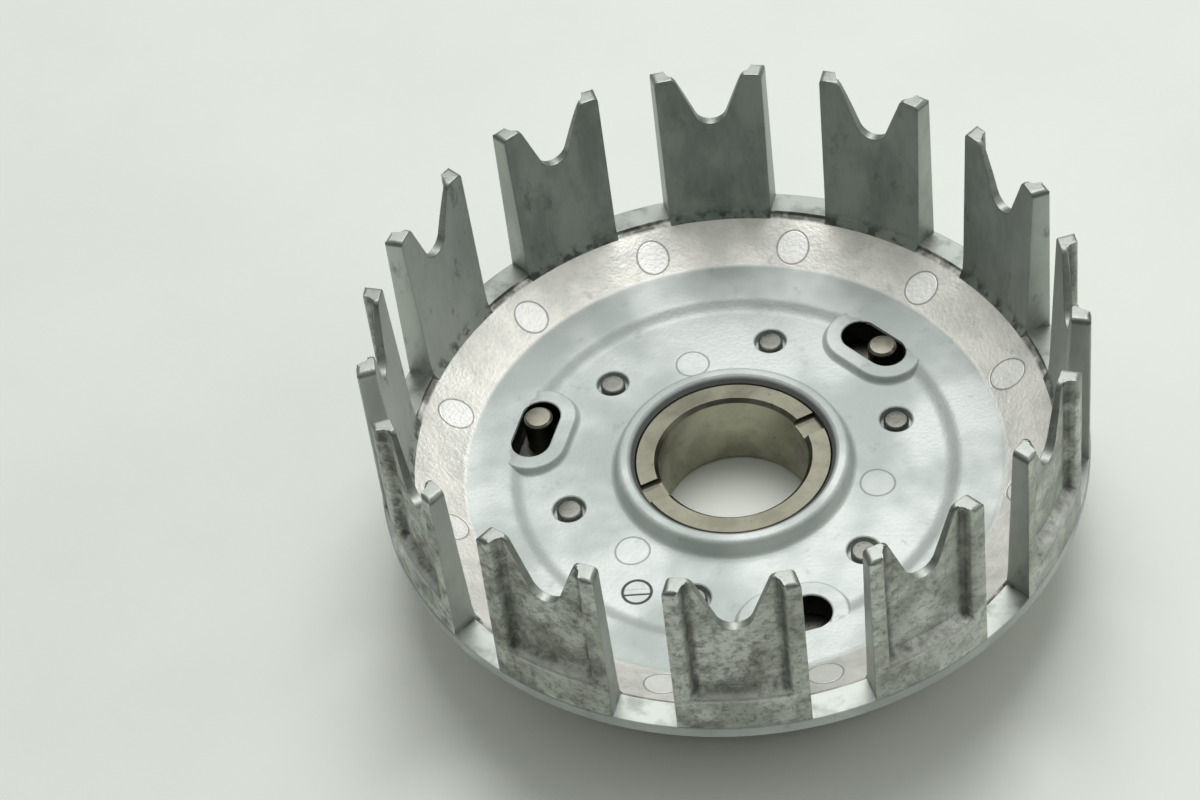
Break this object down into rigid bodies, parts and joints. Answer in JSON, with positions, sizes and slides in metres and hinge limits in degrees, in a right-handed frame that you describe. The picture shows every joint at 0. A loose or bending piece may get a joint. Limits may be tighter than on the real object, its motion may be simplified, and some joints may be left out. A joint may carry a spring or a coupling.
{
  "type": "motorcycle clutch basket with primary driven gear",
  "caption": "Motorcycle clutch basket: a slotted die-cast drum riveted to a plate, turning on a steel hub and driven by a rear gear through coil springs and stop pins.",
  "frame": {"origin": "centre of the hub sleeve's rear face, the lowest face of the part", "axes": "+Z along the hub axis towards the open end of the drum; +X through the middle of one finger"},
  "size_m": [0.1648, 0.1648, 0.0729],
  "materials": {
    "cast_aluminium": "bead-textured die-casting, slightly oxidised and oil stained, machined bright on its seats",
    "gear_steel": "case-hardened, ground tooth flanks, grey web",
    "hub_steel": "sintered steel, ground faces and bore",
    "pin_steel": "hardened and ground",
    "rivet_steel": "soft steel, closed over",
    "plate_steel": "pressed sheet steel",
    "spring_steel": "oil-tempered wire",
    "washer_steel": "thin spring steel"
  },
  "bodies": {
    "housing": {"clutch_basket": "cast_aluminium", "backing_plate": "plate_steel", "rivet_1": "rivet_steel", "rivet_2": "rivet_steel", "rivet_3": "rivet_steel", "rivet_4": "rivet_steel", "rivet_5": "rivet_steel", "rivet_6": "rivet_steel", "friction_washer": "washer_steel", "dished_washer": "washer_steel", "outer_spring_1": "spring_steel", "outer_spring_2": "spring_steel", "outer_spring_3": "spring_steel", "inner_spring_1": "spring_steel", "inner_spring_2": "spring_steel", "inner_spring_3": "spring_steel"},
    "gear": {"driven_gear": "gear_steel", "hub_sleeve": "hub_steel", "stop_pin_1": "pin_steel", "stop_pin_2": "pin_steel", "stop_pin_3": "pin_steel"}
  },
  "joints": [
    {"name": "cush_drive", "type": "hinge", "parent": "housing", "child": "gear", "pos_m": [0, 0, 0], "axis": [0, 0, 1], "range_deg": [-3, 9.4], "stiffness_Nm_per_rad": 600, "deforming": ["outer_spring_1", "outer_spring_2", "outer_spring_3", "inner_spring_1", "inner_spring_2", "inner_spring_3"]}
  ]
}
